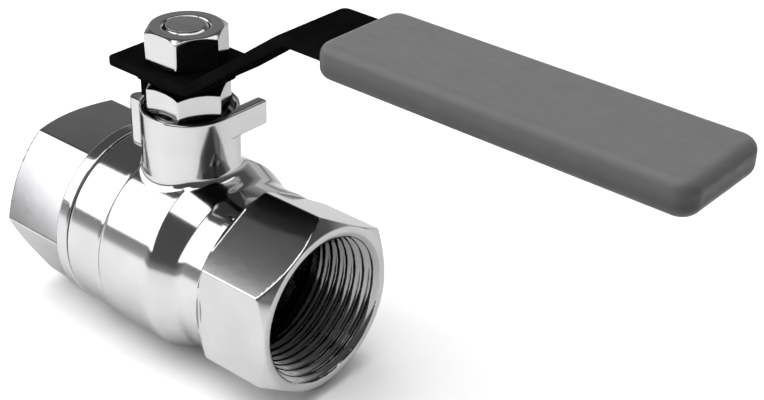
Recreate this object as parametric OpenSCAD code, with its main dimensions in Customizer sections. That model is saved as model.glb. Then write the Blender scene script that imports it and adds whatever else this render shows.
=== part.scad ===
// Lever-operated ball valve, two-piece screwed body, female pipe ports.
// Frame: origin where the pipe axis crosses the stem axis, +X along the pipe
// towards the outlet port (the way the lever points when open), +Z up the stem.
// All sizes are in millimetres.

/* [Ports] */
// Width across flats of both end hexagons
hex_flats = 31; // [30:0.1:32]
// Radius of the port wall at the thread root (G 3/4 pipe thread)
port_root_r = 13.22; // [13:0.01:13.3]
// Depth of the port thread from each end face
port_depth = 15; // [13:0.5:16]
// Radius of the full-bore waterway
waterway_r = 9.6; // [9:0.1:9.8]

/* [Body] */
// X of the outlet end face
outlet_face_x = 32.7; // [32:0.1:34]
// X of the inlet end face on the end cap, as a distance from the stem axis
inlet_face_x = 34.2; // [33:0.1:35]
// Radius of the main drum over the ball
drum_r = 18.3; // [18.1:0.1:18.6]
// Radius of the narrower drum next to the end cap
joint_drum_r = 17.95; // [17.8:0.05:18]
// X where the main drum starts to cone down towards the outlet hexagon
drum_end_x = 6.2; // [5.5:0.1:7]
// Radius of the short collar behind the outlet hexagon
collar_r = 16.1; // [15.8:0.1:16.5]
// Distance from the stem axis to the joint between body and end cap
joint_x = 15.4; // [15:0.1:16]

/* [Neck] */
// Outer radius of the stem neck
neck_r = 8.8; // [8.6:0.1:9.2]
// Height of the neck rim above the pipe axis
neck_top_z = 28.7; // [28:0.1:30]

/* [Ball] */
// Radius of the ball
ball_r = 14.25; // [14:0.05:14.4]
// Radius of the passage through the ball
ball_bore_r = 9.5; // [9:0.1:9.6]

/* [Stem] */
// Radius of the stem where it turns in the neck
stem_r = 4.5; // [4.3:0.1:4.7]
// Radius of the threaded stem end (M8)
stem_thread_r = 4; // [4:0.5:4]
// Width across the two flats that drive the lever
stem_flats = 6; // [5.6:0.1:6.2]

/* [Lever] */
// Thickness of the lever strip
lever_t = 2; // [1.8:0.1:2.1]
// Width of the lever at the stem
lever_w = 17; // [16:0.5:18]
// Width of the lever from the upper bend outwards
lever_tip_w = 15.4; // [14.5:0.1:16]
// Height of the top of the lever where it sits under the nut
lever_top_z = 37.4; // [37:0.1:38]
// Distance the lever rises between its two bends
lever_rise = 15.7; // [14:0.1:17]
// X of the lower bend
bend_low_x = 8; // [7.5:0.1:9]
// X of the upper bend
bend_high_x = 29.6; // [28:0.1:32]

/* [Grip] */
// X where the grip sleeve begins
grip_start_x = 38; // [36:0.5:40]
// X of the outer end of the grip sleeve
grip_end_x = 102.4; // [98:0.1:106]
// Width of the grip sleeve
grip_w = 19.5; // [19:0.1:21]
// Thickness of the grip sleeve
grip_t = 5.8; // [5.4:0.1:6.4]

/* [Hidden] */
$fn = 96;

eps = 0.01;
slip = 0.05;              // radial gap of parts screwed or pushed together
seat_gap = 0.12;          // gap between the ball and each seat
hex_r = hex_flats / sqrt(3);
hex_chamfer_dx = 1.75;    // length of the turned chamfer on a hexagon corner
face_r = 15.35;           // radius of the flat end face inside the chamfer
mouth_r = 14.3;           // radius of the countersink at a port mouth
mouth_depth = 1.1;
waterway_end_x = 17.6;

// Outside of the body
edge = 0.4;               // small turned edge break
step_x = -6.5;            // shallow turned groove between the two drums
step_depth = 0.15;
cone_end_x = 11.7;
hex_back_x = 16.4;
collar_end_x = 17;         // the collar is rooted this far into the hexagon's chamfer
// Inside of the body
cavity_r = 14.95;
cavity_end_x = 5.6;
cavity_cone_end_x = 7.4;
pocket_r = 13.25;
seat_back_x = 11.8;
joint_thread_r = 15.6;
spigot_end_x = 8.9;

// End cap
cap_hex_inner_x = 18.3;
cap_collar_r = 17.9;
joint_gap = 0.3;
body_groove_r = 14.35;

// Seats
seat_front_x = 7.9;
seat_outer_r = pocket_r - slip;

// Stem stack, heights from the pipe axis
slot_floor_z = 11.2;
tang_foot_z = 11.4;
tang_t = 4;
tang_w = 9;
slot_w = tang_t + 0.3;
flange_r = 5.6;
flange_foot_z = 15.2;
flange_top_z = 16.6;
washer_top_z = 17.2;
guide_r = stem_r + 0.05;
guide_top_z = 21.4;
chamber_r = 6.5;
ring_h = 1;
follower_top_z = 25.1;
gland_hex_foot_z = 27.9;
gland_top_z = 33.2;
gland_flats = 13.3;
recess_r = 7.9;
recess_floor_z = 27.3;
shoulder_z = 34.1;
plate_t = lever_top_z - lever_t - shoulder_z;
nut_flats = 13;
nut_h = 6.2;
nut_top_z = lever_top_z + nut_h;
nut_turn = 1.5;
o_ring_section_r = 0.6;

// Stop plate and the two lugs that limit its swing to a quarter turn
tab_outer_x = 10.9;
tab_t = 1.4;
tab_foot_z = 26.2;
tab_y_low = -1.8;
tab_y_high = 6.3;
stop_gap = 0.3;
hub_half = 7;
hub_rear_x = 5.5;
hub_cut = 2.4;
outlet_lug_reach = 10.4;
inlet_lug_reach = 10.6;
outlet_lug_t = 2.3;
outlet_lug_h = 4.7;
inlet_lug_t = 3.4;
inlet_lug_h = 10.1;

// Lever
bend_r = 3;
ramp_angle = atan2(lever_rise, bend_high_x - bend_low_x);
lever_rear_x = 11;
lever_tip_x = grip_end_x - 2.4;
lever_mid_z = lever_top_z - lever_t / 2;
grip_mid_z = lever_mid_z + lever_rise;
grip_corner_r = 3;
grip_edge_r = 2;

chrome_colour = [0.80, 0.81, 0.83];
steel_colour = [0.70, 0.71, 0.72];
black_colour = [0.05, 0.05, 0.055];
grip_colour = [0.35, 0.35, 0.36];
ptfe_colour = [0.93, 0.93, 0.90];
rubber_colour = [0.09, 0.09, 0.09];
brass_colour = [0.78, 0.62, 0.30];

// ---- shared shapes ----

// A solid turned about the X axis from [x, radius] points
module turned_x(points) {
    rotate([0, 90, 0])
        rotate_extrude()
            polygon([for (p = points) [p[1], p[0]]]);
}

// A solid turned about the Z axis from [radius, z] points
module turned_z(points) {
    rotate_extrude()
        polygon(points);
}

// A cylinder along X between two stations
module bar_x(x_low, x_high, r) {
    translate([x_low, 0, 0])
        rotate([0, 90, 0])
            cylinder(h = x_high - x_low, r = r);
}

// A cylinder along Z between two heights
module bar_z(z_low, z_high, r) {
    translate([0, 0, z_low])
        cylinder(h = z_high - z_low, r = r);
}

// A washer about the stem axis
module ring_z(z_low, z_high, r_in, r_out) {
    turned_z([[r_in, z_low], [r_out, z_low], [r_out, z_high], [r_in, z_high]]);
}

// A hexagonal bar along Z with a corner at +X
module hex_z(z_low, z_high, flats) {
    translate([0, 0, z_low])
        cylinder(h = z_high - z_low, r = flats / sqrt(3), $fn = 6);
}

// A hexagonal bar along X; turn 0 puts a corner at the top
module hex_x(x_low, x_high, flats, turn = 0) {
    translate([x_low, 0, 0])
        rotate([turn, 0, 0])
            rotate([0, 90, 0])
                cylinder(h = x_high - x_low, r = flats / sqrt(3), $fn = 6);
}

// The stem's cross-section with two flats facing -Y and +Y
module flatted_bar(z_low, z_high, r, flats) {
    intersection() {
        bar_z(z_low, z_high, r);
        translate([-r - 1, -flats / 2, z_low - 1])
            cube([2 * r + 2, flats, z_high - z_low + 2]);
    }
}

// A hexagon nut with both ends turned to a 30 degree chamfer
module chamfered_hex(z_low, z_high, flats) {
    corner = flats / sqrt(3);
    face = flats / 2 - 0.15;
    rise = (corner - face) * tan(30);
    intersection() {
        hex_z(z_low, z_high, flats);
        turned_z([[0, z_low], [face, z_low], [corner, z_low + rise],
                  [corner, z_high - rise], [face, z_high], [0, z_high]]);
    }
}

// ---- pressure shell ----

module body_outside() {
    // Drum, cone and collar
    joint_face_x = -joint_x + joint_gap;
    turned_x([[joint_face_x, 0], [joint_face_x, joint_drum_r - edge],
              [joint_face_x + edge, joint_drum_r], [step_x - edge, joint_drum_r],
              [step_x, joint_drum_r - step_depth], [step_x + edge, drum_r - step_depth],
              [step_x + 2 * edge, drum_r], [drum_end_x, drum_r], [cone_end_x, collar_r],
              [collar_end_x, collar_r], [collar_end_x, 0]]);
    // Outlet hexagon, chamfered by turning at both ends
    intersection() {
        hex_x(hex_back_x, outlet_face_x, hex_flats);
        turned_x([[hex_back_x, 0], [hex_back_x, face_r], [hex_back_x + hex_chamfer_dx, hex_r],
                  [outlet_face_x - hex_chamfer_dx, hex_r], [outlet_face_x, face_r],
                  [outlet_face_x, 0]]);
    }
    // Neck
    bar_z(10, neck_top_z, neck_r);
    // Outlet-side lug, a flat wing that stops the lever when closed
    translate([tab_y_high + stop_gap, 0, neck_top_z - outlet_lug_h])
        cube([outlet_lug_t, outlet_lug_reach, outlet_lug_h]);
    // Inlet-side lug, a tall round-nosed rib that stops the lever when open
    nose_r = inlet_lug_t / 2;
    nose_x = -inlet_lug_reach + nose_r;
    nose_y = tab_y_low - stop_gap - nose_r;
    translate([nose_x, nose_y - nose_r, neck_top_z - inlet_lug_h + nose_r])
        cube([-nose_x, inlet_lug_t, inlet_lug_h - nose_r]);
    translate([nose_x, nose_y, 0])
        bar_z(neck_top_z - inlet_lug_h + nose_r, neck_top_z, nose_r);
    translate([nose_x, nose_y, neck_top_z - inlet_lug_h + nose_r])
        sphere(r = nose_r);
    translate([0, nose_y, neck_top_z - inlet_lug_h + nose_r])
        rotate([0, -90, 0])
            cylinder(h = -nose_x, r = nose_r);
}

module body_inside() {
    // Threaded outlet port, taken at the thread root
    bar_x(waterway_end_x, outlet_face_x + 1, port_root_r);
    turned_x([[outlet_face_x - mouth_depth, 0], [outlet_face_x - mouth_depth, port_root_r],
              [outlet_face_x + eps, mouth_r], [outlet_face_x + eps, 0]]);
    bar_x(0, waterway_end_x + 1, waterway_r);
    // Seat pocket, ball cavity and joint thread
    bar_x(0, seat_back_x, pocket_r);
    bar_x(-spigot_end_x - 1, cavity_end_x, cavity_r);
    turned_x([[cavity_end_x - eps, 0], [cavity_end_x - eps, cavity_r],
              [cavity_cone_end_x, pocket_r - eps], [cavity_cone_end_x, 0]]);
    bar_x(-joint_x - 1, -spigot_end_x, joint_thread_r);
    // Stem bore: flange pocket, guide, packing chamber and recess under the gland nut
    bar_z(10, washer_top_z, flange_r + 0.15);
    bar_z(10, neck_top_z, guide_r);
    bar_z(guide_top_z, neck_top_z + 1, chamber_r);
    bar_z(recess_floor_z, neck_top_z + 1, recess_r);
    turned_z([[0, neck_top_z - 0.4], [recess_r, neck_top_z - 0.4], [recess_r + 0.4, neck_top_z + eps],
              [0, neck_top_z + eps]]);
}

module body() {
    color(chrome_colour)
        difference() {
            body_outside();
            body_inside();
        }
}

module end_cap() {
    hex_corner_x = inlet_face_x - hex_chamfer_dx;
    color(chrome_colour)
        difference() {
            union() {
                intersection() {
                    hex_x(-inlet_face_x, -cap_hex_inner_x, hex_flats, 30);
                    turned_x([[-inlet_face_x, 0], [-inlet_face_x, face_r], [-hex_corner_x, hex_r],
                              [-cap_hex_inner_x, hex_r], [-cap_hex_inner_x, 0]]);
                }
                // Collar that butts against the body, rooted inside the hexagon
                turned_x([[-cap_hex_inner_x - 1.5, 0], [-cap_hex_inner_x - 1.5, face_r - 1],
                          [-cap_hex_inner_x, face_r - 1], [-cap_hex_inner_x, cap_collar_r - 0.3],
                          [-cap_hex_inner_x + 0.3, cap_collar_r], [-joint_x - 0.3, cap_collar_r],
                          [-joint_x, cap_collar_r - 0.3], [-joint_x, 0]]);
                // Screwed spigot
                bar_x(-joint_x - 1, -spigot_end_x, joint_thread_r - slip);
            }
            bar_x(-inlet_face_x - 1, -inlet_face_x + port_depth, port_root_r);
            turned_x([[-inlet_face_x - eps, 0], [-inlet_face_x - eps, mouth_r],
                      [-inlet_face_x + mouth_depth, port_root_r], [-inlet_face_x + mouth_depth, 0]]);
            bar_x(-inlet_face_x + 1, 0, waterway_r);
            bar_x(-seat_back_x, 0, pocket_r);
            // Groove for the body O-ring
            turned_x([[-joint_x + 0.5, body_groove_r], [-joint_x + 0.5, collar_r],
                      [-joint_x + 2.3, collar_r], [-joint_x + 2.3, body_groove_r]]);
        }
}

module body_o_ring() {
    color(rubber_colour)
        translate([-joint_x + 1.4, 0, 0])
            rotate([0, 90, 0])
                rotate_extrude()
                    translate([body_groove_r + o_ring_section_r + slip / 2, 0])
                        circle(r = o_ring_section_r, $fn = 32);
}

// A seat ring with a spherical face that follows the ball
module seat_ring(side) {
    mirror([side < 0 ? 1 : 0, 0, 0])
        difference() {
            turned_x([[seat_front_x, waterway_r + 0.1], [seat_front_x, seat_outer_r - 0.4],
                      [seat_front_x + 0.4, seat_outer_r], [seat_back_x, seat_outer_r],
                      [seat_back_x, waterway_r + 0.1]]);
            sphere(r = ball_r + seat_gap);
        }
}

module seat_outlet() {
    color(ptfe_colour)
        seat_ring(1);
}

module seat_inlet() {
    color(ptfe_colour)
        seat_ring(-1);
}

// ---- ball ----

module ball() {
    color(chrome_colour)
        difference() {
            sphere(r = ball_r);
            bar_x(-ball_r - 1, ball_r + 1, ball_bore_r);
            // Slot for the stem tang, across the passage
            translate([-slot_w / 2, -ball_r, slot_floor_z])
                cube([slot_w, 2 * ball_r, ball_r]);
        }
}

// ---- stem and its seals ----

module stem() {
    lower_groove_z = 18.4;
    upper_groove_z = 20.2;
    color(steel_colour)
        difference() {
            union() {
                // Tang with its ends rounded to the flange radius
                intersection() {
                    translate([-tang_t / 2, -tang_w / 2, tang_foot_z])
                        cube([tang_t, tang_w, flange_foot_z - tang_foot_z + 1]);
                    bar_z(tang_foot_z - 1, flange_top_z, flange_r);
                }
                bar_z(flange_foot_z, flange_top_z, flange_r);
                bar_z(flange_foot_z, shoulder_z, stem_r);
                flatted_bar(shoulder_z - 1, lever_top_z, stem_thread_r, stem_flats);
                // Threaded end, rooted inside the flatted part
                turned_z([[0, lever_top_z - 1], [1, lever_top_z - 1], [1, lever_top_z],
                          [stem_thread_r, lever_top_z],
                          [stem_thread_r, nut_top_z - 0.5], [stem_thread_r - 0.7, nut_top_z + 0.2],
                          [0, nut_top_z + 0.2]]);
            }
            for (z = [lower_groove_z, upper_groove_z])
                ring_z(z - 0.75, z + 0.75, stem_r - 1.15, stem_r + 1);
        }
}

module stem_o_ring(z) {
    color(rubber_colour)
        translate([0, 0, z])
            rotate_extrude()
                translate([stem_r - 0.55, 0])
                    circle(r = o_ring_section_r - 0.05, $fn = 32);
}

module stem_o_ring_lower() {
    stem_o_ring(18.4);
}

module stem_o_ring_upper() {
    stem_o_ring(20.2);
}

module thrust_washer() {
    color(ptfe_colour)
        ring_z(flange_top_z + 0.02, washer_top_z, guide_r, flange_r);
}

// One ring of the chevron packing: 0 is the lowest
module packing_ring(index) {
    z = guide_top_z + index * ring_h;
    color(ptfe_colour)
        turned_z([[guide_r, z], [chamber_r - slip, z], [chamber_r - slip, z + ring_h],
                  [guide_r, z + ring_h]]);
}

module packing_ring_lower() {
    packing_ring(0);
}

module packing_ring_middle() {
    packing_ring(1);
}

module packing_ring_upper() {
    packing_ring(2);
}

module packing_follower() {
    color(brass_colour)
        ring_z(guide_top_z + 3 * ring_h, follower_top_z, guide_r + slip, chamber_r - slip);
}

module gland_nut() {
    color(chrome_colour)
        difference() {
            union() {
                rotate([0, 0, nut_turn])
                    chamfered_hex(gland_hex_foot_z, gland_top_z, gland_flats);
                bar_z(follower_top_z, gland_hex_foot_z + 1, chamber_r - slip);
            }
            bar_z(follower_top_z - 1, gland_top_z + 1, guide_r + slip);
        }
}

// ---- lever ----

// The hole that fits over the stem's flats
module flats_hole(z_low, z_high) {
    flatted_bar(z_low, z_high, stem_thread_r + slip, stem_flats + 2 * slip);
}

module stop_plate() {
    plate_top_z = shoulder_z + plate_t;
    color(black_colour)
        difference() {
            union() {
                // Hub with cut corners, under the lever
                translate([0, 0, shoulder_z])
                    linear_extrude(plate_t)
                        polygon([[-hub_rear_x, -hub_half], [hub_half - hub_cut, -hub_half],
                                 [hub_half, hub_cut - hub_half], [hub_half, hub_half - hub_cut],
                                 [hub_half - hub_cut, hub_half], [-hub_rear_x, hub_half]]);
                // Arm that carries the tab
                translate([-tab_outer_x, tab_y_low, shoulder_z])
                    cube([tab_outer_x, tab_y_high - tab_y_low, plate_t]);
                // Down-turned tab that swings between the lugs
                translate([-tab_outer_x, tab_y_low, tab_foot_z])
                    cube([tab_t, tab_y_high - tab_y_low, plate_top_z - tab_foot_z]);
            }
            flats_hole(shoulder_z - 1, plate_top_z + 1);
        }
}

// Points of an arc from one angle to another
function arc(cx, cz, r, from, to, steps = 8) =
    [for (i = [0 : steps]) [cx + r * cos(from + (to - from) * i / steps),
                            cz + r * sin(from + (to - from) * i / steps)]];

// Side view of the strip between two faces, offset from its middle line;
// grow widens it all round
module lever_side(grow = 0) {
    half = lever_t / 2 + grow;
    run = bend_r * tan(ramp_angle / 2);
    low_cx = bend_low_x - run;
    high_cx = bend_high_x + run;
    low_cz = lever_mid_z + bend_r;
    high_cz = grip_mid_z - bend_r;
    polygon(concat(
        [[-lever_rear_x - grow, lever_mid_z - half]],
        arc(low_cx, low_cz, bend_r + half, -90, -90 + ramp_angle),
        arc(high_cx, high_cz, bend_r - half, 90 + ramp_angle, 90),
        [[lever_tip_x + grow, grip_mid_z - half], [lever_tip_x + grow, grip_mid_z + half]],
        arc(high_cx, high_cz, bend_r + half, 90, 90 + ramp_angle),
        arc(low_cx, low_cz, bend_r - half, -90 + ramp_angle, -90),
        [[-lever_rear_x - grow, lever_mid_z + half]]));
}

// Plan view of the strip
module lever_plan(grow = 0) {
    wide = lever_w / 2 + grow;
    slim = lever_tip_w / 2 + grow;
    corner = 0.5;
    tip_corner = 4;
    polygon(concat(
        arc(-lever_rear_x - grow + corner, -wide + corner, corner, -180, -90),
        [[bend_low_x, -wide], [bend_high_x, -slim]],
        arc(lever_tip_x + grow - tip_corner, -slim + tip_corner, tip_corner, -90, 0),
        arc(lever_tip_x + grow - tip_corner, slim - tip_corner, tip_corner, 0, 90),
        [[bend_high_x, slim], [bend_low_x, wide]],
        arc(-lever_rear_x - grow + corner, wide - corner, corner, 90, 180)));
}

module lever_strip(grow = 0) {
    intersection() {
        translate([0, lever_w, 0])
            rotate([90, 0, 0])
                linear_extrude(2 * lever_w)
                    lever_side(grow);
        translate([0, 0, shoulder_z])
            linear_extrude(grip_mid_z)
                lever_plan(grow);
    }
}

module lever() {
    color(black_colour)
        difference() {
            lever_strip();
            flats_hole(lever_mid_z - lever_t, lever_mid_z + lever_t);
        }
}

module lever_grip() {
    length = grip_end_x - grip_start_x;
    color(grip_colour)
        difference() {
            hull()
                for (x = [grip_start_x + grip_corner_r, grip_end_x - grip_corner_r])
                    for (y = [-1, 1] * (grip_w / 2 - grip_corner_r))
                        for (z = [-1, 1] * (grip_t / 2 - grip_edge_r))
                            translate([x, y, grip_mid_z + z])
                                rotate_extrude($fn = 32)
                                    intersection() {
                                        translate([grip_corner_r - grip_edge_r, 0])
                                            circle(r = grip_edge_r, $fn = 32);
                                        translate([0, -grip_edge_r])
                                            square([grip_corner_r, 2 * grip_edge_r]);
                                    }
            lever_strip(slip);
        }
}

module lever_nut() {
    color(chrome_colour)
        difference() {
            rotate([0, 0, nut_turn])
                chamfered_hex(lever_top_z, nut_top_z, nut_flats);
            bar_z(lever_top_z - 1, nut_top_z + 1, stem_thread_r + slip / 2);
        }
}

body();
end_cap();
body_o_ring();
ball();
seat_outlet();
seat_inlet();
stem();
thrust_washer();
stem_o_ring_lower();
stem_o_ring_upper();
packing_ring_lower();
packing_ring_middle();
packing_ring_upper();
packing_follower();
gland_nut();
stop_plate();
lever();
lever_grip();
lever_nut();
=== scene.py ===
import functools
import math

import bpy
import numpy as np
from mathutils import Matrix, Vector


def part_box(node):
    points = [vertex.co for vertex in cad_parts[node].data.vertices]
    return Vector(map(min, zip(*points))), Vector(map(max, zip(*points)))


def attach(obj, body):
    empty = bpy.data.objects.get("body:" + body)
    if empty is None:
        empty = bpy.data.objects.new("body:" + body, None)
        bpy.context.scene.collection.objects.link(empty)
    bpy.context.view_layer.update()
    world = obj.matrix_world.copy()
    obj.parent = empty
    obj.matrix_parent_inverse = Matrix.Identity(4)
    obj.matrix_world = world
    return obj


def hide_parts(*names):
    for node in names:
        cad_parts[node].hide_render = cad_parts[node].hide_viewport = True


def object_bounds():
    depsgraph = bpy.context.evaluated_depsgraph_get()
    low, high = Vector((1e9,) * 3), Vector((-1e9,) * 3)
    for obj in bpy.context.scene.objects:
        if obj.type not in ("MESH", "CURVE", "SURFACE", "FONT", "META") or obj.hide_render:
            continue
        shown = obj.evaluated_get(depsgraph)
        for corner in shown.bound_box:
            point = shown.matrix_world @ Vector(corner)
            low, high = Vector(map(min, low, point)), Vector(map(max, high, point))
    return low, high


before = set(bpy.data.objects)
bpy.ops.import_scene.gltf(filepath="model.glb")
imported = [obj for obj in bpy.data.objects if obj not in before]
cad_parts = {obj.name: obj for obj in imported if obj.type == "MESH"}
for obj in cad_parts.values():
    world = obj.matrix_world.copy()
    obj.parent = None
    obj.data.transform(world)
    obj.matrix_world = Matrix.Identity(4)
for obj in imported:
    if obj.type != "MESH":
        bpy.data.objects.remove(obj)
cad_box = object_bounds()

MM = 0.001

# ---------------------------------------------------------------- sizes, in millimetres

CLEARANCE = 0.05  # gap between pieces that fit together
OVERLAP = 0.05  # reach of one part of a piece into the next, so that they join
FINE_EDGE = 0.12  # rounding of a machined edge

HEX_FLATS = 31.0
HEX_CORNER_R = HEX_FLATS / math.sqrt(3)
HEX_EDGE = 0.3
CHAMFER_DX = 1.75
FACE_R = 15.35
MOUTH_R = 14.3
PORT_ROOT_R = 13.22
PORT_PITCH = 1.814
PORT_THREAD_DEPTH = 0.85
PORT_THREAD_END_GAP = 0.4
PORT_THREAD_FADE = 1.6
PORT_FLARE = 0.95
PORT_FLARE_LENGTH = 3.4
PORT_DEPTH = 15.0
WATERWAY_R = 9.6
WATERWAY_START_X = 7.0

# A thread's field is steeper than its distance. Dividing by these keeps it near true.
PORT_STEEPNESS = 1.4
SCREW_STEEPNESS = 1.5

OUTLET_FACE_X = 32.7
INLET_FACE_X = -34.2
JOINT_X = -15.4
BODY_START_X = -15.1
DRUM_R = 18.3
JOINT_DRUM_R = 17.95
GROOVE_X = -6.3
GROOVE_DEPTH = 0.2
GROOVE_HALF_W = 0.4
STEP_HALF_W = 0.25
DRUM_END_X = 6.2
CONE_END_X = 11.7
COLLAR_R = 16.1
HEX_BACK_X = 16.4
CAP_HEX_INNER_X = -18.3
CAP_COLLAR_R = 17.9
SEAT_BACK_X = 11.8
CAVITY_R = 14.95
CAVITY_END_X = 5.6
CAVITY_TAPER = 0.944
POCKET_R = 13.25
JOINT_THREAD_R = 15.6
SPIGOT_END_X = -8.9
CAP_GROOVE_X = -14.0
CAP_GROOVE_W = 1.8
CAP_GROOVE_R = 14.35

NECK_R = 8.8
NECK_START_Z = 10.0
NECK_TOP_Z = 28.7
WING_BACK_X = 6.6
WING_TIP_Y = 10.4
WING_FOOT_Z = 24.0
RIB_X = -8.9
RIB_Y = -3.8
RIB_R = 1.7
RIB_FOOT_Z = 20.3
RECESS_R = 7.9
RECESS_FLOOR_Z = 27.3
CHAMBER_R = 6.5
CHAMBER_FLOOR_Z = 21.4
GUIDE_R = 4.55
WASHER_POCKET_R = 5.75
WASHER_TOP_Z = 17.2

BALL_R = 14.25
BALL_BORE_R = 9.5
SLOT_W = 4.3
SLOT_FLOOR_Z = 11.2

STEM_R = 4.5
STEM_FOOT_Z = 15.5
STEM_GROOVES_Z = (18.4, 20.2)
STEM_GROOVE_W = 1.5
STEM_GROOVE_DEPTH = 1.15
TANG_FOOT_Z = 11.4
TANG_T = 4.0
TANG_W = 9.0
FLANGE_R = 5.6
FLANGE_MID_Z = 15.9
FLANGE_T = 1.4
STEM_THREAD_R = 4.0
STEM_THREAD_DEPTH = 0.62
STEM_PITCH = 1.25
STEM_END_LEAD = 0.55
STEM_PROUD = 0.2
STEM_FLATS = 6.0
FLATS_MID_Z = 35.2
FLATS_LENGTH = 4.5
SHOULDER_Z = 34.1
LEVER_T = 2.0
LEVER_TOP_Z = 37.4
LEVER_MID_Z = LEVER_TOP_Z - LEVER_T / 2
NUT_TOP_Z = 43.6
NUT_FLATS = 13.0
NUT_TURN = math.radians(1.5)
NUT_BEVEL = (0.5, 0.866)  # run and drop of a 30 degree chamfer
NUT_FACE_INSET = 0.15
GLAND_FLATS = 13.3
GLAND_FOOT_Z = 27.9
GLAND_TOP_Z = 33.2
GLAND_START_Z = 25.1
GLAND_BORE_R = 4.6
GLAND_ROOT_R = 5.95
GLAND_THREAD_DEPTH = 0.5
GLAND_PITCH = 1.0

PLATE_HUB_LOW_X = -5.5
PLATE_HUB_HIGH_X = 7.0
PLATE_HUB_W = 14.0
PLATE_HUB_CORNERS = 11.6
PLATE_ARM_LOW = (-10.9, -1.8)
PLATE_ARM_HIGH_Y = 6.3
PLATE_TAB_HIGH_X = -9.5
PLATE_TAB_FOOT_Z = 26.2
PLATE_BEND_CUT = 1.1

LEVER_REAR_X = -11.0
LEVER_TIP_X = 100.0
LEVER_W = 17.0
LEVER_TIP_W = 15.4
BEND_LOW_X = 8.0
BEND_HIGH_X = 29.6
LEVER_RISE = 15.7
LEVER_TIP_CORNER_R = 4.5
BEND_R = 3.0
GRIP_START_X = 38.0
GRIP_END_X = 102.4
GRIP_W = 19.5
GRIP_T = 5.8
GRIP_CORNER_R = 3.0
GRIP_EDGE_R = 2.0
GRIP_MID_Z = LEVER_MID_Z + LEVER_RISE

# ---------------------------------------------------------------- solids as distance fields


def rounded_max(a, b, r):
    """Intersection of two solids with its edge rounded over about r."""
    near = np.maximum(r - np.abs(a - b), 0) / r
    return np.maximum(a, b) + near * near * r / 4


def rounded_min(a, b, r):
    """Union of two solids with a fillet of about r in its corner."""
    return -rounded_max(-a, -b, r)


def common(fields, r):
    """Intersection of several solids with its edges rounded over about r."""
    return functools.reduce(lambda a, b: rounded_max(a, b, r), fields)


def joined(*fields):
    """Union of several solids with sharp corners."""
    return functools.reduce(np.minimum, fields)


def hexagon(u, v, flats, turn, r):
    """Sides of a hexagonal bar whose first flat faces the angle turn."""
    sides = [
        np.abs(u * math.cos(turn + k * math.pi / 3) + v * math.sin(turn + k * math.pi / 3)) - flats / 2
        for k in range(3)
    ]
    return common(sides, r)


def bevel(along, end, radius, face_r, run, drop):
    """Turned chamfer that leaves a flat of face_r at along = end and falls by drop over run."""
    size = math.hypot(run, drop)
    return ((radius - face_r) * run + (along - end) * drop) / size


def ridge(along, angle, pitch):
    """Height of a right-hand thread, from 0 at the root to 1 at the crest."""
    return 0.5 - 0.5 * np.cos(2 * math.pi * along / pitch - angle)


def block(x, y, z, low, high, r):
    """Box with rounded edges."""
    spans = [
        np.maximum(low[k] - axis, axis - high[k]) for k, axis in enumerate((x, y, z))
    ]
    return common(spans, r)


def port_void(depth_in, radius, angle, along):
    """Threaded port that flares a little to its mouth; depth_in runs from 0 at the face into the port."""
    fade = np.clip((PORT_DEPTH - PORT_THREAD_END_GAP - depth_in) / PORT_THREAD_FADE, 0, 1)
    thread = PORT_THREAD_DEPTH * fade * ridge(along, angle, PORT_PITCH)
    flare = PORT_FLARE * np.exp(-((depth_in / PORT_FLARE_LENGTH) ** 2))
    bore = (radius - PORT_ROOT_R - flare + thread) / PORT_STEEPNESS
    bore = np.maximum(bore, depth_in - PORT_DEPTH)
    mouth = (radius - MOUTH_R + 2 * depth_in) / math.sqrt(5)
    return rounded_min(bore, mouth, 0.15)


def body_barrel(x, radius):
    """Joint drum, groove, drum, cone and collar, from the joint to the hexagon."""
    rise = 0.5 + 0.5 * np.tanh((x - GROOVE_X) / STEP_HALF_W)
    groove = GROOVE_DEPTH * np.exp(-(((x - GROOVE_X) / GROOVE_HALF_W) ** 2))
    drum = radius - (JOINT_DRUM_R + (DRUM_R - JOINT_DRUM_R) * rise - groove)
    cone = bevel(x, DRUM_END_X, radius, DRUM_R, CONE_END_X - DRUM_END_X, DRUM_R - COLLAR_R)
    barrel = rounded_max(drum, cone, 0.25)
    barrel = rounded_min(barrel, radius - COLLAR_R, 0.35)
    return np.maximum(rounded_max(barrel, BODY_START_X - x, 0.5), x - HEX_BACK_X - 0.6)


def body_hexagon(x, y, z, radius):
    drop = HEX_CORNER_R - FACE_R
    nut = hexagon(y, z, HEX_FLATS, 0, HEX_EDGE)
    nut = rounded_max(nut, bevel(x, OUTLET_FACE_X, radius, FACE_R, CHAMFER_DX, drop), 0.2)
    nut = rounded_max(nut, bevel(-x, -HEX_BACK_X, radius, FACE_R, CHAMFER_DX, drop), 0.2)
    nut = rounded_max(nut, x - OUTLET_FACE_X, FINE_EDGE)
    return rounded_max(nut, HEX_BACK_X - x, FINE_EDGE)


def body_neck(x, y, z, around):
    """Neck with its two stop lugs: a flat wing on the outlet's side and a rib on the inlet's."""
    neck = np.maximum(rounded_max(around - NECK_R, z - NECK_TOP_Z, 0.35), NECK_START_Z - z)
    wing = block(x, y, z, (WING_BACK_X, -9, WING_FOOT_Z), (NECK_R, WING_TIP_Y, NECK_TOP_Z), 0.4)
    neck = rounded_min(neck, np.maximum(wing, -y), 0.15)
    past_x = np.minimum(x - RIB_X, 0)
    below = np.minimum(z - RIB_FOOT_Z, 0)
    rib = np.sqrt(past_x ** 2 + (y - RIB_Y) ** 2 + below ** 2) - RIB_R
    rib = np.maximum(rounded_max(rib, z - NECK_TOP_Z, 0.3), x)
    return rounded_min(neck, rib, 0.5)


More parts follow.
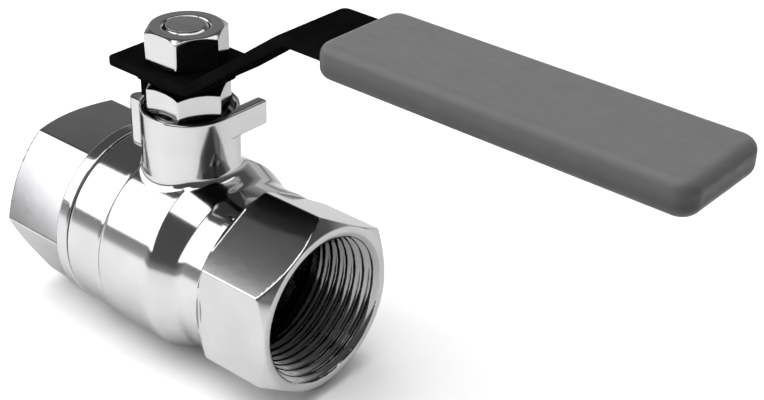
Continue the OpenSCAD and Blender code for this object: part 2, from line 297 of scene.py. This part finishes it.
def body_voids(x, y, z, radius, around):
    """Cavity, waterway, port, and up the neck the stem's guide, washer pocket, packing chamber and recess."""
    angle = np.arctan2(z, y)
    pocket = np.clip(CAVITY_R - CAVITY_TAPER * (x - CAVITY_END_X), POCKET_R, CAVITY_R)
    pocket = np.where(x < SPIGOT_END_X, JOINT_THREAD_R, pocket)
    return joined(
        np.maximum(radius - pocket, x - SEAT_BACK_X),
        np.maximum(radius - WATERWAY_R, WATERWAY_START_X - x),
        port_void(OUTLET_FACE_X - x, radius, angle, x),
        np.maximum(around - GUIDE_R, NECK_START_Z - z),
        np.maximum(around - WASHER_POCKET_R, np.abs(z - WASHER_TOP_Z + 4) - 4),
        np.maximum(around - CHAMBER_R, CHAMBER_FLOOR_Z - z),
        np.maximum(around - RECESS_R, RECESS_FLOOR_Z - z),
        np.maximum(bevel(-z, -NECK_TOP_Z - 0.4, around, RECESS_R + 0.8, 1, 1), RECESS_FLOOR_Z - z),
    )


def body_solid(x, y, z):
    radius = np.hypot(y, z)
    around = np.hypot(x, y)
    barrel = rounded_min(body_barrel(x, radius), body_hexagon(x, y, z, radius), 0.25)
    outside = rounded_min(barrel, body_neck(x, y, z, around), 1.0)
    return rounded_max(outside, -body_voids(x, y, z, radius, around), 0.15)


def cap_solid(x, y, z):
    """End cap: hexagon, collar, and the spigot that screws into the body, with its O-ring groove."""
    radius = np.hypot(y, z)
    drop = HEX_CORNER_R - FACE_R
    nut = hexagon(y, z, HEX_FLATS, math.pi / 6, HEX_EDGE)
    nut = rounded_max(nut, bevel(-x, -INLET_FACE_X, radius, FACE_R, CHAMFER_DX, drop), 0.2)
    nut = rounded_max(nut, INLET_FACE_X - x, FINE_EDGE)
    nut = np.maximum(nut, x - CAP_HEX_INNER_X - OVERLAP)
    collar = rounded_max(radius - CAP_COLLAR_R, np.maximum(CAP_HEX_INNER_X - x, x - JOINT_X), 0.4)
    spigot = np.maximum(radius - JOINT_THREAD_R + CLEARANCE, np.maximum(-20 - x, x - SPIGOT_END_X))
    groove = np.maximum(CAP_GROOVE_R - radius, np.abs(x - CAP_GROOVE_X) - CAP_GROOVE_W / 2)
    spigot = rounded_max(spigot, -groove, 0.1)
    void = joined(
        port_void(x - INLET_FACE_X, radius, np.arctan2(z, y), x),
        radius - WATERWAY_R,
        np.maximum(radius - POCKET_R, -SEAT_BACK_X - x),
    )
    return rounded_max(joined(nut, collar, spigot), -void, 0.15)


def ball_solid(x, y, z):
    """Ball with its bore along X and the stem's slot on top."""
    shell = np.sqrt(x * x + y * y + z * z) - BALL_R
    bore = np.hypot(y, z) - BALL_BORE_R
    slot = np.maximum(np.abs(x) - SLOT_W / 2, SLOT_FLOOR_Z - z)
    return rounded_max(rounded_max(shell, -bore, 0.7), -slot, 0.3)


def stem_solid(x, y, z):
    """Stem from the foot up: tang, flange, shaft with two O-ring grooves, flats, and screw."""
    around = np.hypot(x, y)
    tang = block(x, y, z, (-TANG_T / 2, -TANG_W / 2, TANG_FOOT_Z), (TANG_T / 2, TANG_W / 2, 16), 0.3)
    tang = np.maximum(tang, around - FLANGE_R)
    flange = rounded_max(around - FLANGE_R, np.abs(z - FLANGE_MID_Z) - FLANGE_T / 2, 0.2)
    shaft = rounded_max(around - STEM_R, np.maximum(STEM_FOOT_Z - z, z - SHOULDER_Z), 0.3)
    for groove_z in STEM_GROOVES_Z:
        groove = np.maximum(STEM_R - STEM_GROOVE_DEPTH - around, np.abs(z - groove_z) - STEM_GROOVE_W / 2)
        shaft = rounded_max(shaft, -groove, 0.15)
    flats = rounded_max(around - STEM_THREAD_R, np.abs(y) - STEM_FLATS / 2, 0.15)
    flats = np.maximum(flats, np.abs(z - FLATS_MID_Z) - FLATS_LENGTH / 2)
    thread = STEM_THREAD_DEPTH * ridge(z, np.arctan2(y, x), STEM_PITCH)
    screw = (around - STEM_THREAD_R + STEM_THREAD_DEPTH - thread) / SCREW_STEEPNESS
    lead = bevel(z, NUT_TOP_Z + STEM_PROUD, around, STEM_THREAD_R - STEM_END_LEAD, 1, 1)
    screw = rounded_max(screw, lead, FINE_EDGE)
    screw = rounded_max(screw, np.maximum(LEVER_TOP_Z - z, z - NUT_TOP_Z - STEM_PROUD), FINE_EDGE)
    return joined(rounded_min(joined(tang, flange), shaft, 0.1), flats, screw)


def nut_fields(x, y, z, foot, top, flats, hole_r, lead):
    """Sides and hole of a chamfered hexagon nut around the stem, countersunk at its upper end."""
    around = np.hypot(x, y)
    face_r = flats / 2 - NUT_FACE_INSET
    sides = hexagon(x, y, flats, math.pi / 6 + NUT_TURN, 0.25)
    sides = rounded_max(sides, bevel(z, top, around, face_r, *NUT_BEVEL), FINE_EDGE)
    sides = rounded_max(sides, bevel(-z, -foot, around, face_r, *NUT_BEVEL), FINE_EDGE)
    sides = rounded_max(sides, np.maximum(z - top, foot - z), 0.1)
    hole = np.minimum(around - hole_r, bevel(-z, -top, around, hole_r + lead, 1, 1))
    return sides, hole


def lever_nut_solid(x, y, z):
    sides, hole = nut_fields(x, y, z, LEVER_TOP_Z, NUT_TOP_Z, NUT_FLATS, STEM_THREAD_R + 0.03, 0.3)
    return rounded_max(sides, -hole, FINE_EDGE)


def gland_solid(x, y, z):
    """Gland nut: a hexagon on a hollow screw."""
    sides, hole = nut_fields(x, y, z, GLAND_FOOT_Z, GLAND_TOP_Z, GLAND_FLATS, GLAND_BORE_R, 0.4)
    around = np.hypot(x, y)
    thread = GLAND_THREAD_DEPTH * ridge(z, np.arctan2(y, x), GLAND_PITCH)
    screw = (around - GLAND_ROOT_R - thread) / SCREW_STEEPNESS
    screw = rounded_max(screw, np.maximum(GLAND_START_Z - z, z - GLAND_FOOT_Z - 0.5), 0.2)
    return rounded_max(rounded_min(sides, screw, 0.2), -hole, FINE_EDGE)


def flats_void(x, y):
    """Hole with two flats that fits over the stem's."""
    return np.maximum(np.hypot(x, y) - STEM_THREAD_R - CLEARANCE, np.abs(y) - STEM_FLATS / 2 - CLEARANCE)


def stop_solid(x, y, z):
    """Plate under the lever: a hub on the stem, and an arm that turns down into the stop tab."""
    top = LEVER_TOP_Z - LEVER_T
    hub = rounded_max(np.maximum(PLATE_HUB_LOW_X - x, x - PLATE_HUB_HIGH_X), np.abs(y) - PLATE_HUB_W / 2, 0.3)
    hub = rounded_max(hub, (x + np.abs(y) - PLATE_HUB_CORNERS) / math.sqrt(2), 0.3)
    hub = rounded_max(hub, np.maximum(SHOULDER_Z - z, z - top), 0.3)
    arm = block(x, y, z, (*PLATE_ARM_LOW, SHOULDER_Z), (0, PLATE_ARM_HIGH_Y, top), 0.35)
    tab_high = (PLATE_TAB_HIGH_X, PLATE_ARM_HIGH_Y, top)
    tab = block(x, y, z, (*PLATE_ARM_LOW, PLATE_TAB_FOOT_Z), tab_high, 0.35)
    arm = rounded_min(arm, tab, 0.8)
    outer_bend = -(x - PLATE_ARM_LOW[0] - z + top - PLATE_BEND_CUT) / math.sqrt(2) - 0.35
    arm = rounded_max(arm, outer_bend, 0.8)
    solid = rounded_min(hub, arm, 0.3)
    return rounded_max(solid, -flats_void(x, y), FINE_EDGE)


def lever_path():
    """Middle line of the lever strip from the side, run on past both ends."""
    slope = math.atan2(LEVER_RISE, BEND_HIGH_X - BEND_LOW_X)
    run = BEND_R * math.tan(slope / 2)
    points = [(LEVER_REAR_X - 9, LEVER_MID_Z)]
    steps = 10
    for k in range(steps + 1):
        turn = slope * k / steps
        points.append((BEND_LOW_X - run + BEND_R * math.sin(turn),
                       LEVER_MID_Z + BEND_R - BEND_R * math.cos(turn)))
    for k in range(steps + 1):
        turn = slope * (1 - k / steps)
        points.append((BEND_HIGH_X + run - BEND_R * math.sin(turn),
                       GRIP_MID_Z - BEND_R + BEND_R * math.cos(turn)))
    points.append((LEVER_TIP_X + 9, GRIP_MID_Z))
    return points


LEVER_PATH = lever_path()


def path_distance(u, v, points):
    """Distance to a line of straight stretches."""
    best = None
    for (au, av), (bu, bv) in zip(points, points[1:]):
        du, dv = bu - au, bv - av
        share = np.clip(((u - au) * du + (v - av) * dv) / (du * du + dv * dv), 0, 1)
        away = np.hypot(u - au - share * du, v - av - share * dv)
        best = away if best is None else np.minimum(best, away)
    return best


def strip_solid(x, y, z, grow):
    """Cranked lever strip without its hole, grown by a margin on every side."""
    side = path_distance(x, z, LEVER_PATH) - LEVER_T / 2 - grow
    share = np.clip((x - BEND_LOW_X) / (BEND_HIGH_X - BEND_LOW_X), 0, 1)
    width = LEVER_W / 2 + (LEVER_TIP_W - LEVER_W) / 2 * share + grow
    plan = rounded_max(np.abs(y) - width, LEVER_REAR_X - grow - x, 0.5)
    plan = rounded_max(plan, x - LEVER_TIP_X - grow, LEVER_TIP_CORNER_R)
    return rounded_max(side, plan, 0.45)


def lever_solid(x, y, z):
    hole = np.maximum(flats_void(x, y), z - LEVER_TOP_Z - 1)
    return rounded_max(strip_solid(x, y, z, 0), -hole, FINE_EDGE)


def grip_solid(x, y, z):
    """Rounded sleeve, hollowed to fit the lever strip."""
    half_x = (GRIP_END_X - GRIP_START_X) / 2 - GRIP_CORNER_R
    out_x = np.abs(x - (GRIP_END_X + GRIP_START_X) / 2) - half_x
    out_y = np.abs(y) - GRIP_W / 2 + GRIP_CORNER_R
    plan = np.hypot(np.maximum(out_x, 0), np.maximum(out_y, 0))
    plan = plan + np.minimum(np.maximum(out_x, out_y), 0) - GRIP_CORNER_R + GRIP_EDGE_R
    thick = np.abs(z - GRIP_MID_Z) - GRIP_T / 2 + GRIP_EDGE_R
    shell = np.hypot(np.maximum(plan, 0), np.maximum(thick, 0))
    shell = shell + np.minimum(np.maximum(plan, thick), 0) - GRIP_EDGE_R
    return rounded_max(shell, -strip_solid(x, y, z, CLEARANCE), 0.25)


# ---------------------------------------------------------------- meshes from fields

FLAT_LIMIT = math.cos(math.radians(0.15))  # a face whose field turns less than this is flat
CREASE_LIMIT = math.cos(math.radians(30))  # a normal that turns more than this is across a sharp edge


def slopes(field, points, step=0.004):
    """Gradient of a field at each point."""
    found = np.empty_like(points)
    for k in range(3):
        shift = np.zeros(3)
        shift[k] = step
        ahead = field(*(points + shift).T)
        behind = field(*(points - shift).T)
        found[:, k] = (ahead - behind) / (2 * step)
    return found


def unit(vectors):
    return vectors / np.maximum(np.linalg.norm(vectors, axis=1, keepdims=True), 1e-9)


def settle(field, points, reach):
    """Moves points on to the surface of a field, none by more than reach in one go."""
    for _ in range(5):
        slope = slopes(field, points)
        height = field(*points.T)
        move = -slope * (height / np.maximum((slope * slope).sum(axis=1), 0.2))[:, None]
        size = np.linalg.norm(move, axis=1, keepdims=True)
        points = points + move * np.minimum(1, reach / np.maximum(size, 1e-9))
    return points


def crossings(field, low, high, cell):
    """Where a grid's edges cross a field's surface, and for each the four cells round that edge."""
    axes = [np.arange(a - 2 * cell, b + 3 * cell, cell) for a, b in zip(low, high)]
    shape = tuple(len(axis) for axis in axes)
    start = np.array([axis[0] for axis in axes])
    value = np.broadcast_to(field(*np.meshgrid(*axes, indexing="ij", sparse=True)), shape)
    places, quads = [], []
    for axis in range(3):
        first = np.take(value, range(shape[axis] - 1), axis)
        second = np.take(value, range(1, shape[axis]), axis)
        edge = np.argwhere((first < 0) != (second < 0))
        a = first[tuple(edge.T)]
        b = second[tuple(edge.T)]
        place = edge.astype(float)
        place[:, axis] += a / (a - b)
        corners = []
        for side_b, side_c in ((0, 0), (-1, 0), (-1, -1), (0, -1)):
            cell_at = edge.copy()
            cell_at[:, (axis + 1) % 3] += side_b
            cell_at[:, (axis + 2) % 3] += side_c
            corners.append(np.ravel_multi_index(tuple(cell_at.T), shape))
        quad = np.stack(corners, axis=1)
        quad[a > b] = quad[a > b][:, ::-1]
        quads.append(quad)
        places.append(place * cell + start)
    return np.concatenate(places), np.concatenate(quads)


def surface_net(field, low, high, cell):
    """Quads round a field's surface, with one vertex per grid cell, drawn on to edges and corners."""
    place, owner = crossings(field, low, high, cell)
    normal = unit(slopes(field, place))
    keys, vertex = np.unique(owner, return_inverse=True)
    vertex = vertex.reshape(owner.shape)
    count = len(keys)

    def gather(values):
        """Sums an edge's value over the four cells that share the edge."""
        return sum(np.bincount(vertex[:, k], weights=values, minlength=count) for k in range(4))

    share = gather(np.ones(len(place)))
    middle = np.stack([gather(place[:, k]) / share for k in range(3)], axis=1)
    reach = (normal * place).sum(axis=1)
    matrix = np.empty((count, 3, 3))
    right = np.empty((count, 3))
    for i in range(3):
        for j in range(3):
            matrix[:, i, j] = gather(normal[:, i] * normal[:, j])
        right[:, i] = gather(normal[:, i] * reach)
    right -= np.einsum("nij,nj->ni", matrix, middle)
    matrix += 0.05 * np.eye(3)
    move = np.linalg.solve(matrix, right[:, :, None])[:, :, 0]
    size = np.linalg.norm(move, axis=1, keepdims=True)
    points = middle + move * np.minimum(1, 0.8 * cell / np.maximum(size, 1e-9))
    return settle(field, points, 0.3 * cell), vertex


def corner_normals(field, mesh, points):
    """Normal for each corner of each face: a flat's own normal, elsewhere the field's at the vertex."""
    vertex = np.empty(len(mesh.loops), np.int32)
    mesh.loops.foreach_get("vertex_index", vertex)
    sides = np.empty(len(mesh.polygons), np.int32)
    mesh.polygons.foreach_get("loop_total", sides)
    face = np.repeat(np.arange(len(sides)), sides)
    corner = points[vertex]
    middle = np.stack([np.bincount(face, weights=corner[:, k]) / sides for k in range(3)], axis=1)
    flat = unit(slopes(field, middle))[face]
    inside = unit(slopes(field, corner + 0.35 * (middle[face] - corner)))
    found = unit(slopes(field, points))[vertex]
    torn = (inside * found).sum(axis=1) < CREASE_LIMIT
    found[torn] = inside[torn]
    bent = np.bincount(face, weights=(inside * flat).sum(axis=1) < FLAT_LIMIT) > 0
    level = ~bent[face]
    found[level] = flat[level]
    return found


def thinned(piece, keep):
    """The piece's mesh with the share keep of its faces."""
    thin = piece.modifiers.new("thin", "DECIMATE")
    thin.ratio = keep
    bpy.context.view_layer.update()
    graph = bpy.context.evaluated_depsgraph_get()
    mesh = bpy.data.meshes.new_from_object(piece.evaluated_get(graph))
    piece.modifiers.clear()
    return mesh


def solid_piece(name, field, node, cell, keep, body, slot, port_shade_faces=None):
    """Meshes a field inside its node's box, thins it to the share keep, and puts it in the node's place."""
    low, high = (np.array(corner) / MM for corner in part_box(node))
    points, quads = surface_net(field, low, high, cell)
    mesh = bpy.data.meshes.new(name)
    mesh.from_pydata((points * MM).tolist(), [], quads.tolist())
    piece = bpy.data.objects.new(name, mesh)
    bpy.context.scene.collection.objects.link(piece)
    mesh = thinned(piece, keep)
    piece.data = mesh
    mesh.name = name
    points = np.empty(3 * len(mesh.vertices))
    mesh.vertices.foreach_get("co", points)
    points = settle(field, points.reshape(-1, 3) / MM, 0.1 * cell)
    points = np.clip(points, low, high)
    mesh.vertices.foreach_set("co", (points * MM).ravel())
    mesh.polygons.foreach_set("use_smooth", np.ones(len(mesh.polygons), bool))
    mesh.update()
    mesh.normals_split_custom_set(corner_normals(field, mesh, points).tolist())
    mesh.materials.append(FINISHES[slot])
    if port_shade_faces:
        # the port's walls get the plate with painted shade deeper in
        mesh.materials.append(FINISHES["port_thread"])
        middle = np.empty(3 * len(mesh.polygons))
        mesh.polygons.foreach_get("center", middle)
        mesh.polygons.foreach_set("material_index", port_shade_faces(*(middle.reshape(-1, 3) / MM).T).astype(np.int32))
    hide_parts(node)
    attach(piece, body)
    return piece


# ---------------------------------------------------------------- finishes


class Finish:
    """A Principled material whose nodes are added a step at a time."""

    def __init__(self, name, **values):
        self.material = bpy.data.materials.new(name)
        self.material.use_nodes = True
        self.tree = self.material.node_tree
        self.shader = self.tree.nodes["Principled BSDF"]
        for socket, value in values.items():
            self.shader.inputs[socket.replace("_", " ")].default_value = value
        self.place = self.add("ShaderNodeTexCoord").outputs["Object"]

    def add(self, kind, **values):
        node = self.tree.nodes.new(kind)
        for key, value in values.items():
            if hasattr(node, key):
                setattr(node, key, value)
            else:
                node.inputs[key.replace("_", " ")].default_value = value
        return node

    def link(self, output, target):
        self.tree.links.new(output, target)

    def stretched(self, scale):
        """The object's coordinates, scaled on each axis."""
        mapping = self.add("ShaderNodeMapping")
        mapping.inputs["Scale"].default_value = scale
        self.link(self.place, mapping.inputs["Vector"])
        return mapping.outputs["Vector"]

    def noise(self, scale, detail=3.0, stretch=(1, 1, 1), roughness=0.5):
        """Noise whose grains are about 1/scale metres."""
        node = self.add("ShaderNodeTexNoise", Scale=scale, Detail=detail, Roughness=roughness)
        self.link(self.stretched(stretch), node.inputs["Vector"])
        return node.outputs["Fac"]

    def level(self, axis, low, high, speckle):
        """Distance from the origin along an axis, from low to high mm as 0 to 1, broken up by noise."""
        split = self.add("ShaderNodeSeparateXYZ")
        self.link(self.place, split.inputs["Vector"])
        away = self.add("ShaderNodeMath", operation="ABSOLUTE")
        self.link(split.outputs[axis], away.inputs[0])
        level = self.add("ShaderNodeMapRange")
        level.inputs["From Min"].default_value = low * MM
        level.inputs["From Max"].default_value = high * MM
        self.link(away.outputs["Value"], level.inputs["Value"])
        mixed = self.add("ShaderNodeMix")
        mixed.inputs["Factor"].default_value = speckle
        self.link(level.outputs["Result"], mixed.inputs["A"])
        self.link(self.noise(300, 4), mixed.inputs["B"])
        return mixed.outputs["Result"]

    def ramp(self, source, low, high, start=0.3, end=0.7):
        """Colours or numbers from low to high as source goes from start to end."""
        node = self.add("ShaderNodeValToRGB")
        for stop, position, value in zip(node.color_ramp.elements, (start, end), (low, high)):
            stop.position = position
            stop.color = (value, value, value, 1) if isinstance(value, float) else (*value, 1)
        self.link(source, node.inputs["Fac"])
        return node.outputs["Color"]

    def colour(self, source, low, high, start=0.3, end=0.7):
        self.link(self.ramp(source, low, high, start, end), self.shader.inputs["Base Color"])

    def roughness(self, source, low, high, start=0.3, end=0.7):
        self.link(self.ramp(source, low, high, start, end), self.shader.inputs["Roughness"])

    def bump(self, heights):
        """Stacks bumps, each a source, its strength and its depth in metres."""
        last = None
        for source, strength, depth in heights:
            node = self.add("ShaderNodeBump", Strength=strength, Distance=depth)
            self.link(source, node.inputs["Height"])
            if last:
                self.link(last.outputs["Normal"], node.inputs["Normal"])
            last = node
        self.link(last.outputs["Normal"], self.shader.inputs["Normal"])


EDGE_TINT = 0.6  # share of a metal's usual brightening at a glancing angle that the plate keeps


def plated(name, low, high, rough, shade_depths=None):
    """Bright nickel or chrome plate over turned brass; two distances along X, when given, paint shade on it:
    darkest at the distance nearer the middle, lightening towards the farther.
    """
    finish = Finish(name, Metallic=1.0, Specular_Tint=(EDGE_TINT, EDGE_TINT, EDGE_TINT, 1))
    if shade_depths:
        # painted shade: the plate's colour darkens deeper into the port along X
        finish.colour(finish.level("X", *shade_depths, 0.1), low, high, 0.0, 1.0)
    else:
        finish.colour(finish.noise(160, 4), low, high)
    finish.roughness(finish.noise(900, 4), rough, rough + 0.012)
    finish.bump([(finish.noise(1600, 2), 0.08, 0.00001)])
    return finish.material


def black_enamel():
    """Dull black paint that loses its gloss towards the outline."""
    finish = Finish("black_enamel_steel")
    glance = finish.add("ShaderNodeLayerWeight", Blend=0.5)
    gloss = finish.ramp(glance.outputs["Facing"], 0.014, 0.0, 0.25, 0.62)
    finish.link(gloss, finish.shader.inputs["Specular IOR Level"])
    finish.colour(finish.noise(300, 4), (0.0015, 0.0015, 0.0015), (0.003, 0.003, 0.003))
    finish.roughness(finish.noise(500, 3), 0.42, 0.52)
    finish.bump([(finish.noise(1400, 2), 0.25, 0.00003), (finish.noise(350, 2), 0.2, 0.00006)])
    return finish.material


def grey_vinyl():
    """Fine-grained grey vinyl with painted shade: darker down its sides than on top."""
    finish = Finish("grey_vinyl_grip", Specular_IOR_Level=0.4)
    # painted shade: the base colour darkens from the top down the sides
    height = finish.level("Z", GRIP_MID_Z - 0.8, GRIP_MID_Z + GRIP_T / 2, 0.25)
    finish.colour(height, (0.028, 0.028, 0.029), (0.100, 0.100, 0.102), 0.0, 1.0)
    finish.roughness(finish.noise(700, 3), 0.42, 0.52)
    finish.bump([(finish.noise(2600, 2), 0.3, 0.00003), (finish.noise(500, 2), 0.15, 0.00005)])
    return finish.material


def white_ptfe():
    finish = Finish("white_ptfe", Subsurface_Weight=0.1, Subsurface_Scale=0.002)
    finish.colour(finish.noise(400, 4), (0.78, 0.78, 0.75), (0.86, 0.86, 0.83))
    finish.roughness(finish.noise(800, 3), 0.38, 0.5)
    finish.bump([(finish.noise(1800, 3), 0.2, 0.00003)])
    return finish.material


def black_rubber():
    finish = Finish("black_rubber")
    finish.colour(finish.noise(500, 3), (0.012, 0.012, 0.012), (0.022, 0.022, 0.021))
    finish.roughness(finish.noise(900, 3), 0.55, 0.7)
    finish.bump([(finish.noise(2400, 3), 0.3, 0.00002)])
    return finish.material


def turned_brass():
    finish = Finish("turned_brass", Metallic=1.0)
    finish.colour(finish.noise(300, 4), (0.68, 0.48, 0.20), (0.78, 0.58, 0.28))
    finish.roughness(finish.noise(600, 3), 0.22, 0.34)
    finish.bump([(finish.noise(1500, 3), 0.2, 0.00002)])
    return finish.material


FINISHES = {
    # port walls: plate with painted shade, darker deeper into the port
    "port_thread": plated("port_plate_painted_shade", (0.04, 0.04, 0.04), (0.42, 0.42, 0.42), 0.09, (16, 33)),
    "plated_body": plated("nickel_plate_body", (0.47, 0.47, 0.475), (0.52, 0.52, 0.525), 0.10),
    "plated_cap": plated("nickel_plate_cap", (0.47, 0.47, 0.48), (0.52, 0.52, 0.53), 0.10),
    "plated_nut": plated("bright_plate_nut", (0.46, 0.46, 0.465), (0.51, 0.51, 0.515), 0.10),
    "chromed_ball": plated("hard_chrome_ball", (0.54, 0.54, 0.55), (0.57, 0.57, 0.58), 0.04),
    "stem_metal": plated("turned_stem", (0.45, 0.45, 0.455), (0.55, 0.55, 0.555), 0.16),
    "black_steel": black_enamel(),
    "grip": grey_vinyl(),
    "ptfe": white_ptfe(),
    "rubber": black_rubber(),
    "brass": turned_brass(),
}

# ---------------------------------------------------------------- pieces

SOLIDS = [
    # piece, field, node, cell in mm, share of faces kept, body, slot
    ("valve_body_casting", body_solid, "body", 0.30, 0.45, "valve_body", "plated_body"),
    ("valve_end_cap", cap_solid, "end_cap", 0.30, 0.45, "valve_body", "plated_cap"),
    ("polished_ball", ball_solid, "ball", 0.45, 0.5, "ball", "chromed_ball"),
    ("threaded_stem", stem_solid, "stem", 0.16, 0.5, "spindle", "stem_metal"),
    ("gland_hexagon", gland_solid, "gland_nut", 0.16, 0.5, "valve_body", "plated_nut"),
    ("stop_washer", stop_solid, "stop_plate", 0.20, 0.5, "spindle", "black_steel"),
    ("lever_strip", lever_solid, "lever", 0.30, 0.5, "spindle", "black_steel"),
    ("lever_sleeve", grip_solid, "lever_grip", 0.35, 0.5, "spindle", "grip"),
    ("handle_nut", lever_nut_solid, "lever_nut", 0.16, 0.5, "spindle", "plated_nut"),
]


def in_port(x, y, z):
    """True on the walls of the ports and the waterway, which take the plate with painted shade deeper in."""
    return (np.hypot(y, z) < MOUTH_R - 0.1) & (np.abs(x) > SEAT_BACK_X)


for name, field, node, cell, keep, body, slot in SOLIDS:
    port_shade_faces = in_port if node in ("body", "end_cap") else None
    solid_piece(name, field, node, cell, keep, body, slot, port_shade_faces)

CARRIED_OVER = {
    "body_o_ring": "rubber",
    "seat_outlet": "ptfe",
    "seat_inlet": "ptfe",
    "thrust_washer": "ptfe",
    "stem_o_ring_lower": "rubber",
    "stem_o_ring_upper": "rubber",
    "packing_ring_lower": "ptfe",
    "packing_ring_middle": "ptfe",
    "packing_ring_upper": "ptfe",
    "packing_follower": "brass",
}

for node, slot in CARRIED_OVER.items():
    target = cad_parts[node]
    for holder in target.material_slots:
        holder.material = FINISHES[slot]

# ---------------------------------------------------------------- studio


def floor_finish():
    """Pale paper with painted shade that darkens it far from the object, in place of the lamps' light falling
    off.
    """
    finish = Finish("pale_paper", Roughness=0.6)
    away = finish.add("ShaderNodeVectorMath", operation="LENGTH")
    finish.link(finish.place, away.inputs[0])
    # painted shade: the floor's colour darkens with distance from the object
    near = finish.ramp(away.outputs["Value"], 0.90, 0.34, 0.22, 1.0)
    tint = finish.add("ShaderNodeMix", data_type="RGBA", blend_type="MULTIPLY")
    tint.inputs["Factor"].default_value = 1.0
    finish.link(near, tint.inputs["A"])
    finish.link(finish.ramp(finish.noise(40, 4), 0.97, 1.0), tint.inputs["B"])
    finish.link(tint.outputs["Result"], finish.shader.inputs["Base Color"])
    finish.bump([(finish.noise(700, 3), 0.03, 0.0001)])
    return finish.material


def make_floor():
    half = 1.6
    z = cad_box[0][2]
    mesh = bpy.data.meshes.new("studio_floor")
    mesh.from_pydata([(-half, -half, z), (half, -half, z), (half, half, z), (-half, half, z)],
                     [], [(0, 1, 2, 3)])
    floor = bpy.data.objects.new("studio_floor", mesh)
    mesh.materials.append(floor_finish())
    bpy.context.scene.collection.objects.link(floor)


def area_light(name, place, aim, size, radiance, seen=True):
    """Soft light of size (across, up) that faces aim and shines with one radiance all over."""
    data = bpy.data.lights.new(name, "AREA")
    data.shape = "RECTANGLE"
    data.size, data.size_y = size
    data.energy = radiance * math.pi * size[0] * size[1]
    lamp = bpy.data.objects.new(name, data)
    direction = Vector(aim) - Vector(place)
    lamp.matrix_world = Matrix.Translation(place) @ direction.to_track_quat("-Z", "Y").to_matrix().to_4x4()
    lamp.visible_glossy = seen
    bpy.context.scene.collection.objects.link(lamp)
    return lamp


def ceiling_panel(name, u_span, v_span, height, radiance):
    """Overhead softbox in a level plane; its spans along X and Y are in heights above the object."""
    size = ((u_span[1] - u_span[0]) * height, (v_span[1] - v_span[0]) * height)
    place = Vector(((u_span[0] + u_span[1]) / 2, (v_span[0] + v_span[1]) / 2, 1)) * height
    panel = area_light(name, place, place - Vector((0, 0, 1)), size, radiance)
    panel.matrix_world = Matrix.Translation(place)  # straight down, sides along X and Y


def make_lights():
    """Three softboxes in one level plane above the object, and a fill that no reflection shows."""
    height = 0.55
    ceiling_panel("softbox_side", (-3.72, -0.45), (-3.9, -0.27), height, 2.4)
    ceiling_panel("softbox_top", (-0.35, 0.30), (-0.62, -0.06), height, 2.4)
    ceiling_panel("softbox_back", (-0.02, 0.30), (-0.06, 1.0), height, 1.7)
    area_light("soft_fill", (-0.05, -0.10, 0.5), (-0.05, -0.10, 0), (0.8, 0.8), 2.5, seen=False)


def make_world():
    """Sky that darkens from the horizon up, about an axis that leans a little towards the camera."""
    world = bpy.data.worlds.new("studio_world")
    bpy.context.scene.world = world
    world.use_nodes = True
    tree = world.node_tree
    place = tree.nodes.new("ShaderNodeTexCoord")
    lean = tree.nodes.new("ShaderNodeVectorMath")
    lean.operation = "DOT_PRODUCT"
    ramp = tree.nodes.new("ShaderNodeValToRGB")
    lean.inputs[1].default_value = (0.14, -0.17, 1.0)
    stops = [(0.0, 1.0), (0.05, 0.52), (0.17, 0.38), (0.3, 0.14), (0.45, 0.125), (1.0, 0.11)]
    elements = ramp.color_ramp.elements
    while len(elements) < len(stops):
        elements.new(0.5)
    for stop, (position, value) in zip(elements, stops):
        stop.position = position
        stop.color = (value, value, value, 1)
    tree.links.new(place.outputs["Generated"], lean.inputs[0])
    tree.links.new(lean.outputs["Value"], ramp.inputs["Fac"])
    tree.links.new(ramp.outputs["Color"], tree.nodes["Background"].inputs["Color"])


def make_camera():
    """The camera looks at the object from front right, a third of the way up."""
    azimuth = math.radians(39.5855)
    elevation = math.radians(29.8855)
    roll = math.radians(1.5813)
    target = Vector((40.99, 4.06, 23.46)) * MM
    distance = 242.0 * MM
    back = Vector((
        math.sin(azimuth) * math.cos(elevation),
        -math.cos(azimuth) * math.cos(elevation),
        math.sin(elevation),
    ))
    right = Vector((0, 0, 1)).cross(back).normalized()
    up = back.cross(right)
    rolled_right = right * math.cos(roll) + up * math.sin(roll)
    rolled_up = up * math.cos(roll) - right * math.sin(roll)
    data = bpy.data.cameras.new("camera")
    data.sensor_width = 36.0
    data.lens = 69.64
    data.clip_start = 0.01
    data.clip_end = 20.0
    camera = bpy.data.objects.new("camera", data)
    turn = Matrix((rolled_right, rolled_up, back)).transposed()
    camera.matrix_world = Matrix.Translation(target + back * distance) @ turn.to_4x4()
    bpy.context.scene.collection.objects.link(camera)
    bpy.context.scene.camera = camera


make_floor()
make_lights()
make_world()
make_camera()
bpy.context.scene.view_settings.view_transform = "Standard"
